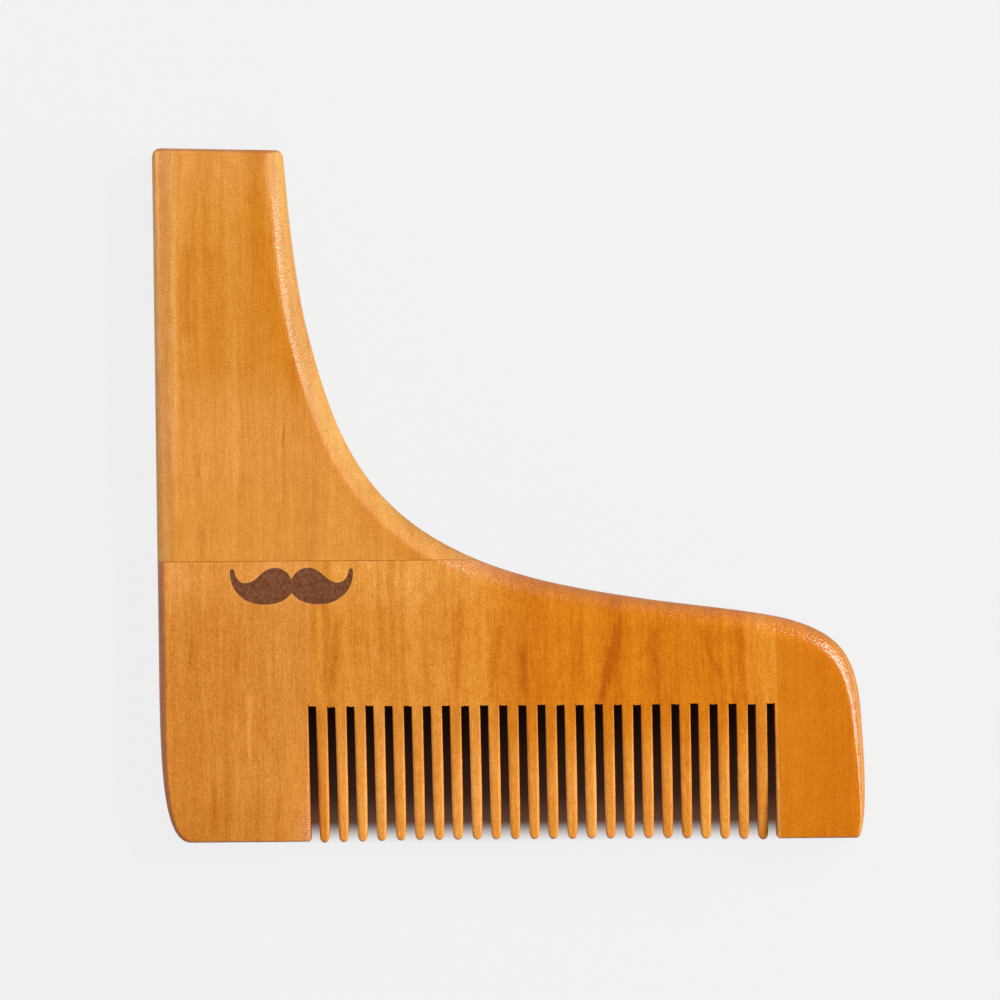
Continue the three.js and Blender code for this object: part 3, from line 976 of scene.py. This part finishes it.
# Painted shade on the floor under the teeth: darker paper, with a faint painted brown glow.
FLOOR_PAINTED_SHADE = (0.03, 0.015, 0.01, 1.0)
FLOOR_GLOW = 0.845
PAINTED_SHADE_HUE = (1.0, 0.46, 0.27)
PAINTED_GLOW_LEAST = 0.004   # painted glow in the painted shade at the roots of the teeth
PAINTED_GLOW_DOWN = 0.033    # painted glow added evenly toward their tips
PAINTED_GLOW_TIPS = 0.06     # painted glow added over the last few millimetres, as light coming in under the thinned tips
FLOOR_GRAIN = (0.8, 0.8, 0.8)
FLOOR_GRAIN_HEIGHT = 0.005


def floor_paper():
    """Pale paper that glows softly, as on a light table, with painted shade under the teeth: a
    dark brown painted glow there grows toward their tips, as painted light coming in under them.
    """
    s = Shader("floor_paper")
    below_roots = s.fade(s.y, ROOT_Y + 5, ROOT_Y + 1)
    above_tips = s.fade(s.y, TIP_Y - 0.5, TIP_Y + 3.1)
    right_of_heel = s.fade(s.x, FIRST_SLOT_X - 4, FIRST_SLOT_X - 1)
    left_of_end = s.fade(s.x, END_JOINT_X + 4, END_JOINT_X + 1)
    # shade: where the painted shade lies on the floor under the teeth, set by place.
    shade = s.times(below_roots, above_tips, right_of_heel, left_of_end)
    painted_glow = s.add(s.times(s.fade(s.y, ROOT_Y, TIP_Y), PAINTED_GLOW_DOWN),
                  s.times(s.fade(s.y, TIP_Y + 7.5, TIP_Y + 2.5), PAINTED_GLOW_TIPS),
                  PAINTED_GLOW_LEAST)
    brown = s.vector("SCALE", PAINTED_SHADE_HUE, scale=painted_glow)
    glow = s.mix(shade, (FLOOR_GLOW, FLOOR_GLOW, FLOOR_GLOW, 1.0), brown)
    paper = s.mix(shade, FLOOR_PAPER, FLOOR_PAINTED_SHADE)
    bumps = s.times(s.noise(FLOOR_GRAIN), FLOOR_GRAIN_HEIGHT)
    return s.finish(paper, 0.9, bumps, Emission_Strength=1.0, IOR=1.3, Emission_Color=glow)


def add_floor():
    mesh = bpy.data.meshes.new("floor")
    signs = [(-1, -1), (1, -1), (1, 1), (-1, 1)]
    corners = [(x * FLOOR_EDGE, y * FLOOR_EDGE, 0) for x, y in signs]
    mesh.from_pydata(corners, [], [(0, 1, 2, 3)])
    floor = bpy.data.objects.new("floor", mesh)
    floor.location.z = -FLOOR_DROP * MM
    mesh.materials.append(floor_paper())
    bpy.context.scene.collection.objects.link(floor)
    floor.visible_diffuse = False


def add_softbox(name, azimuth, elevation, distance, size, power):
    """A rectangular light that faces the comb; size is across, then up and down."""
    data = bpy.data.lights.new(name, "AREA")
    data.shape = "RECTANGLE"
    data.size, data.size_y = size
    data.energy = power
    light = bpy.data.objects.new(name, data)
    a, e = math.radians(azimuth), math.radians(elevation)
    away = Vector((math.cos(a) * math.cos(e), math.sin(a) * math.cos(e), math.sin(e)))
    light.location = away * distance
    light.rotation_euler = away.to_track_quat("Z", "Y").to_euler()
    light.visible_camera = False
    bpy.context.scene.collection.objects.link(light)


WALLS_END, CEILING_START = 0.1, 0.65    # heights in the sky, as the Z of a direction
GROUND_START, GROUND_END = 0.05, -0.1
GROUND_LIGHT = 0.12        # light from below, as a share of the horizon's


def add_world(horizon, zenith, seen):
    """A studio whose pale walls light the comb from low down; the camera sees it as seen."""
    world = bpy.data.worlds.new("studio")
    world.use_nodes = True
    tree = world.node_tree
    tree.nodes.clear()
    direction = tree.nodes.new("ShaderNodeTexCoord")
    split = tree.nodes.new("ShaderNodeSeparateXYZ")
    tree.links.new(direction.outputs["Generated"], split.inputs[0])

    def fade(start, end, low, high):
        made = tree.nodes.new("ShaderNodeMapRange")
        made.interpolation_type = "SMOOTHSTEP"
        for socket, value in zip(("From Min", "From Max", "To Min", "To Max"),
                                 (start, end, low, high)):
            made.inputs[socket].default_value = value
        tree.links.new(split.outputs["Z"], made.inputs["Value"])
        return made.outputs["Result"]

    light = tree.nodes.new("ShaderNodeMath")
    light.operation = "MULTIPLY"
    tree.links.new(fade(WALLS_END, CEILING_START, horizon, zenith), light.inputs[0])
    tree.links.new(fade(GROUND_END, GROUND_START, GROUND_LIGHT, 1.0), light.inputs[1])
    rays = tree.nodes.new("ShaderNodeLightPath")
    mix = tree.nodes.new("ShaderNodeMix")
    tree.links.new(rays.outputs["Is Camera Ray"], mix.inputs["Factor"])
    tree.links.new(light.outputs[0], mix.inputs["A"])
    mix.inputs["B"].default_value = seen
    background = tree.nodes.new("ShaderNodeBackground")
    tree.links.new(mix.outputs["Result"], background.inputs["Strength"])
    background.inputs["Color"].default_value = (1, 1, 1, 1)
    output = tree.nodes.new("ShaderNodeOutputWorld")
    tree.links.new(background.outputs[0], output.inputs["Surface"])
    bpy.context.scene.world = world


add_floor()
add_softbox("key_softbox", azimuth=24, elevation=50, distance=1.6, size=(1.0, 0.32), power=24.5)
add_softbox("side_softbox", azimuth=5, elevation=15, distance=1.6, size=(1.3, 0.7), power=6.5)
add_softbox("fill_softbox", azimuth=155, elevation=50, distance=1.6, size=(0.8, 0.8), power=1.5)
add_world(horizon=1.2, zenith=0.06, seen=0.88)
bpy.context.scene.view_settings.view_transform = "Standard"


# ---- Pieces -----------------------------------------------------------------------------

comb = build_comb()
half_glue = GLUE / 2
above = (0, ARM_JOINT_Y + half_glue, 0)
below = (0, ARM_JOINT_Y - half_glue, 0)
UP, DOWN = (0, 1, 0), (0, -1, 0)


def beside(x, offset):
    return Vector((x, ROOT_Y, 0)) + LEANING * offset


arm_wood = wood("arm_wood", [(203, 119, 28), (224, 144, 50), (238, 166, 76)], seed=1, zones=[
    (arm_middle, (0.95, 0.9, 0.75)), (along_curve, (0.97, 0.9, 0.5)),
    (back_edge_sheen, (0.97, 1.12, 2.6)), (arm_arris_painted_light, (1.36, 1.55, 1.6)),
    (lit_side_sheen, (0.86, 1.04, 1.3)), (arm_foot, (0.99, 0.98, 0.74)),
], streaks=[
    ((-34.3, 8.0), (-34.2, 9.8), 0.35, -1.3), ((-34.5, -2), (-34.3, 7), 0.5, -0.2),
    ((-48.9, 24), (-48.7, 38), 1.4, -0.25), ((-50.5, -3), (-50.8, 45), 0.8, 0.22),
    ((-46.7, -4), (-47.0, 50), 0.8, 0.13), ((-41.4, 2), (-41.6, 26), 0.7, 0.18),
    ((-44.3, 18), (-44.2, 38), 2.6, -0.12),
], roughness=0.25, dulled=dull_ends)
heel_wood = wood("heel_wood", [(198, 113, 30), (217, 135, 48), (234, 160, 76)], seed=2, zones=[
    (under_arm, (1.14, 1.26, 1.85)), (near_foot, (0.93, 0.9, 0.85)),
    (ground_down, (0.97, 0.98, 0.95)), (heel_edge, (0.76, 0.63, 1.0)),
], streaks=[
    ((-39.7, -39.6), (-39.9, -31.0), 0.6, 0.3), ((-43.9, -23), (-43.9, -17), 0.5, 0.25),
    ((-45.4, -51), (-45.4, -44), 1.0, -0.3), ((-37.8, -37), (-37.7, -22), 1.1, -0.16),
    ((-41.9, -29), (-41.7, -22), 0.9, -0.18), ((-48.4, -26), (-48.3, -22), 0.4, -0.3),
])
tooth_wood = wood("tooth_wood", [(196, 110, 18), (224, 141, 48), (241, 168, 78)], seed=3, zones=[
    (under_arm, (1.1, 1.24, 1.8)), (right_of_middle, (0.92, 0.74, 0.14)),
    (toward_tips, (1.15, 1.18, 1.42)), (near_end_block, (1.05, 1.09, 1.1)),
    (spine_painted_shade, (0.9, 0.87, 1.1)),
], streaks=[
    ((16.3, -23.5), (17.0, -18.0), 1.1, -0.22), ((13.4, -32.2), (16.3, -23.0), 1.2, -0.36),
    ((13.3, -32.2), (15.6, -24.0), 0.5, -0.15), ((14.0, -30.0), (17.5, -20.0), 2.6, -0.12),
    ((33.8, -31.5), (28.9, -20.6), 1.1, -0.14), ((35.1, -39.0), (33.2, -20.1), 1.0, -0.13),
    ((36.0, -31.6), (34.7, -20.1), 0.9, -0.14), ((-2.8, -31.3), (-1.5, -19.9), 1.3, -0.2),
    ((1.9, -30), (2.1, -23), 1.1, -0.26), ((-26.8, -29.5), (-26.4, -19.0), 1.1, -0.28),
    ((-19.8, -30), (-19.6, -16), 1.1, -0.15), ((-8.0, -30), (-7.6, -16), 0.8, -0.18),
    ((10.4, -30), (10.9, -19), 1.3, -0.18), ((21.5, -30), (21.8, -20), 1.8, -0.12),
    ((29.5, -30), (29.0, -22), 2.0, -0.05), ((-29.3, -31), (-29.1, -12), 1.0, 0.2),
])
end_wood = wood("end_wood", [(198, 102, 6), (213, 120, 13), (226, 136, 30)], seed=4, zones=[
    (ground_down, (1.07, 1.14, 1.5)), (lit_side_sheen, (0.86, 1.04, 1.3)),
], roughness=0.15, ior=1.54)
arm_glue = dried_glue("arm_glue", (192, 118, 44))
heel_glue = dried_glue("heel_glue", (226, 150, 68))
end_glue = dried_glue("end_glue", (221, 130, 33))

block("arm_block", comb, arm_wood, [(above, UP)])
block("arm_joint_glue", comb, arm_glue, [(below, UP), (above, DOWN)])
block("heel_block", comb, heel_wood, [
    (below, DOWN), (beside(HEEL_JOINT_X, -half_glue), -LEANING)])
block("heel_joint_glue", comb, heel_glue, [
    (below, DOWN), (beside(HEEL_JOINT_X, -half_glue), LEANING),
    (beside(HEEL_JOINT_X, half_glue), -LEANING)])
block("tooth_block", comb, tooth_wood, [
    (below, DOWN), (beside(HEEL_JOINT_X, half_glue), LEANING),
    (beside(END_JOINT_X, -half_glue), -LEANING)])
block("end_joint_glue", comb, end_glue, [
    (below, DOWN), (beside(END_JOINT_X, -half_glue), LEANING),
    (beside(END_JOINT_X, half_glue), -LEANING)])
block("end_block", comb, end_wood, [
    (below, DOWN), (beside(END_JOINT_X, half_glue), LEANING)])
comb.free()
